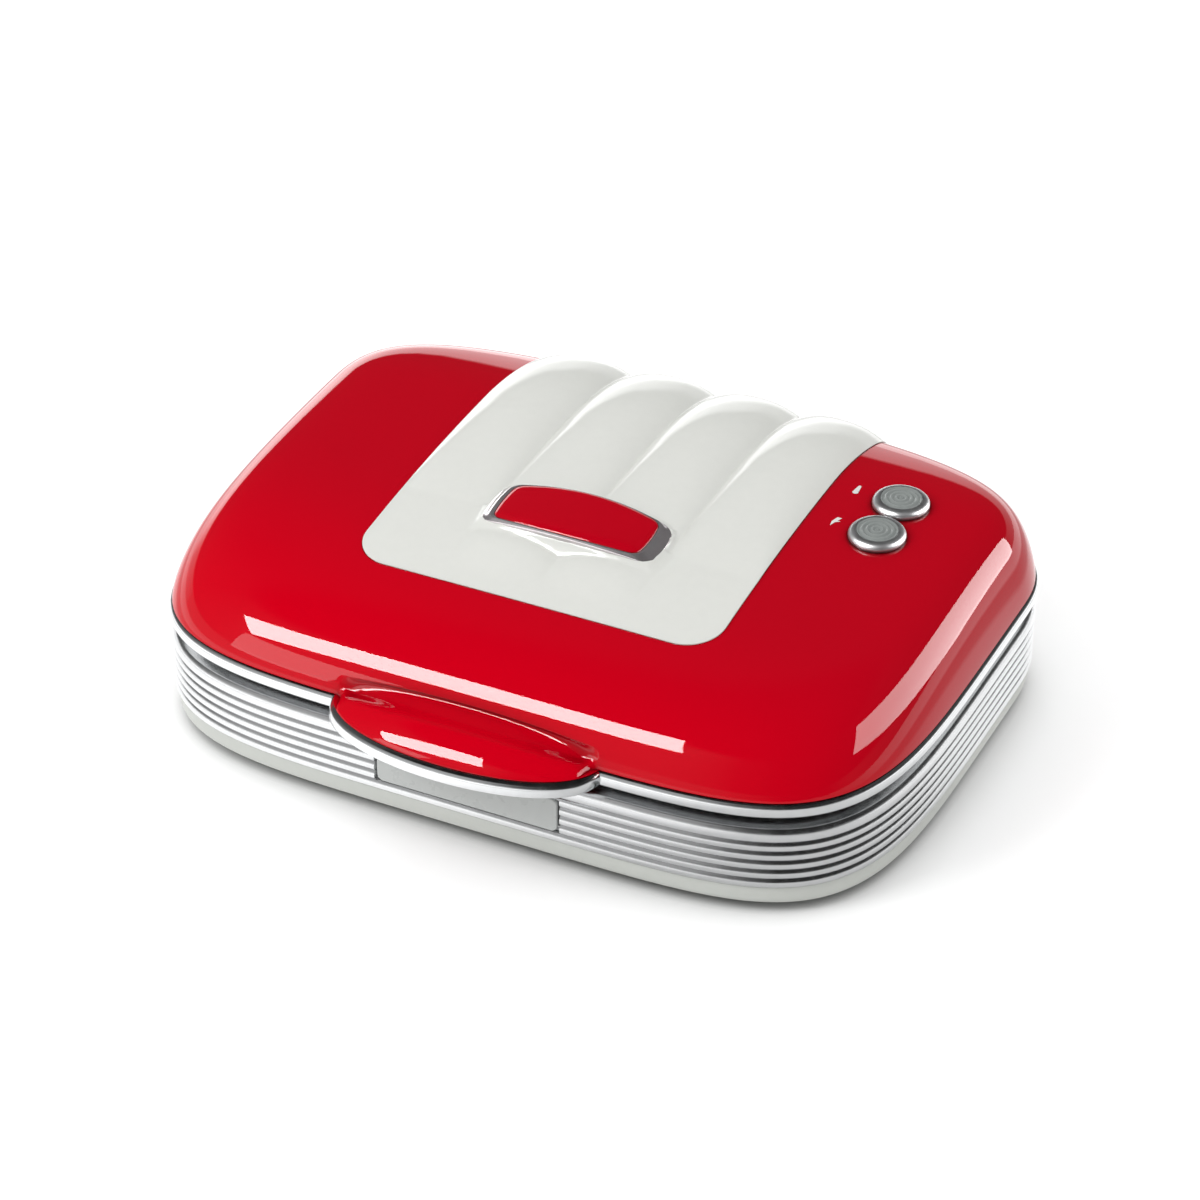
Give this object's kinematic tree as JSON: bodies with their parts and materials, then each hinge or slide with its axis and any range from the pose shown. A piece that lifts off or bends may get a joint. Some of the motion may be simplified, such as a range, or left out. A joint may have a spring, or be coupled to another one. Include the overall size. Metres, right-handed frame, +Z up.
{
  "type": "waffle maker",
  "caption": "Small rounded electric waffle maker with a hinged domed lid, a front finger lip, a ribbed base and a pair of studded baking plates.",
  "frame": {"origin": "on the surface the feet stand on, under the middle of the whole object's box", "axes": "+Z up, -Y towards the handle at the front, +X to the right of someone facing the front"},
  "size_m": [0.2524, 0.2184, 0.0737],
  "materials": {
    "red_lid": "high gloss",
    "cream_panel": "gloss",
    "badge_chrome": "polished",
    "badge_red": "high gloss",
    "silver_trim": "satin",
    "ribbed_silver": "satin",
    "pale_cover": "satin",
    "pale_nameplate": "satin",
    "black_carrier": "fine grained",
    "nonstick_plate": "non-stick coated",
    "heater_sheath": "oxidised",
    "reflector_sheet": "bright",
    "ceramic_body": "unglazed",
    "lamp_bezel": "satin",
    "lamp_lens": "ringed",
    "neon_glass": "clear",
    "lamp_holder": "moulded",
    "steel_screw": "zinc plated",
    "lead_sleeve": "braided",
    "hinge_steel": "ground",
    "black_rubber": "matte"
  },
  "bodies": {
    "base": {"base_shell": "ribbed_silver", "bottom_cover": "pale_cover", "nameplate": "pale_nameplate", "base_carrier": "black_carrier", "lower_plate": "nonstick_plate", "lower_element": "heater_sheath", "lower_reflector": "reflector_sheet", "terminal_block": "ceramic_body", "cord_bushing": "black_rubber", "base_leads": "lead_sleeve", "hinge_pin_left": "hinge_steel", "hinge_pin_right": "hinge_steel", "rubber_feet": "black_rubber", "base_screws": "steel_screw", "lower_plate_screws": "steel_screw"},
    "lid": {"lid_shell": "red_lid", "lid_panel": "cream_panel", "badge_frame": "badge_chrome", "badge_plate": "badge_red", "lid_trim": "silver_trim", "lid_carrier": "black_carrier", "upper_plate": "nonstick_plate", "upper_element": "heater_sheath", "upper_reflector": "reflector_sheet", "thermostat": "ceramic_body", "thermal_fuse": "ceramic_body", "power_lamp_bezel": "lamp_bezel", "ready_lamp_bezel": "lamp_bezel", "power_lamp_lens": "lamp_lens", "ready_lamp_lens": "lamp_lens", "power_neon_lamp": "neon_glass", "ready_neon_lamp": "neon_glass", "lamp_holder": "lamp_holder", "lid_screws": "steel_screw", "upper_plate_screws": "steel_screw", "lid_leads": "lead_sleeve"}
  },
  "joints": [
    {"name": "lid_hinge", "type": "hinge", "parent": "base", "child": "lid", "pos_m": [0, 0.1046, 0.0347], "axis": [-1, 0, 0], "range_deg": [0, 100]}
  ]
}
